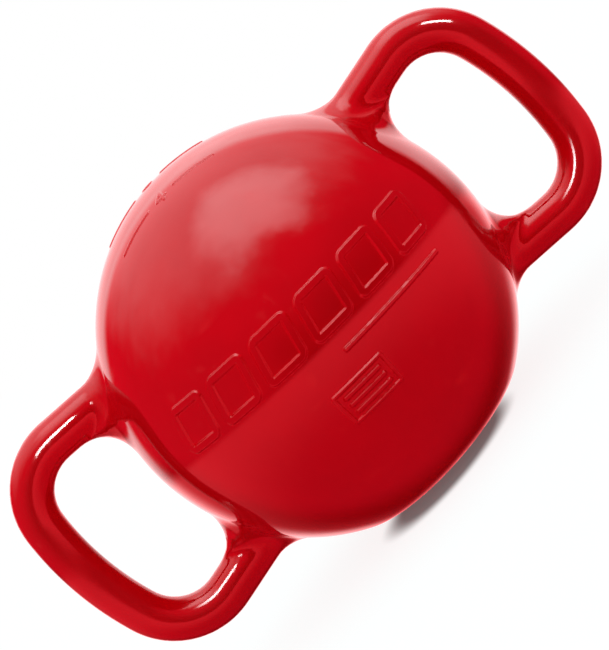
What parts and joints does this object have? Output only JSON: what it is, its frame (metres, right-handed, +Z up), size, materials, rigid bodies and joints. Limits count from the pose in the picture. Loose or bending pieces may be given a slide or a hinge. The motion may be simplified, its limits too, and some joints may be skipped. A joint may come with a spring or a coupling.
{
  "type": "medicine ball",
  "caption": "Hollow moulded medicine ball with a loop handle on each side, a flat base, a push-in fill plug at the back and a charge of water inside.",
  "frame": {"origin": "centre of the flat base, on the surface the ball stands on", "axes": "+Z up; +X along the two handles, towards the right handle; +Y to the back, where the fill plug is"},
  "size_m": [0.5094, 0.3045, 0.2925],
  "materials": {
    "red_vinyl": "moulded gloss",
    "seat_vinyl": "moulded satin",
    "plug_vinyl": "moulded gloss",
    "water": "clear liquid"
  },
  "bodies": {
    "ball": {"ball_shell": "red_vinyl", "handle_left": "red_vinyl", "handle_right": "red_vinyl", "valve_seat": "seat_vinyl", "water_charge": "water"},
    "plug": {"fill_plug": "plug_vinyl"}
  },
  "joints": [
    {"name": "fill_plug_pull", "type": "slide", "parent": "ball", "child": "plug", "axis": [0, 1, 0], "range_m": [0, 0.04]}
  ]
}
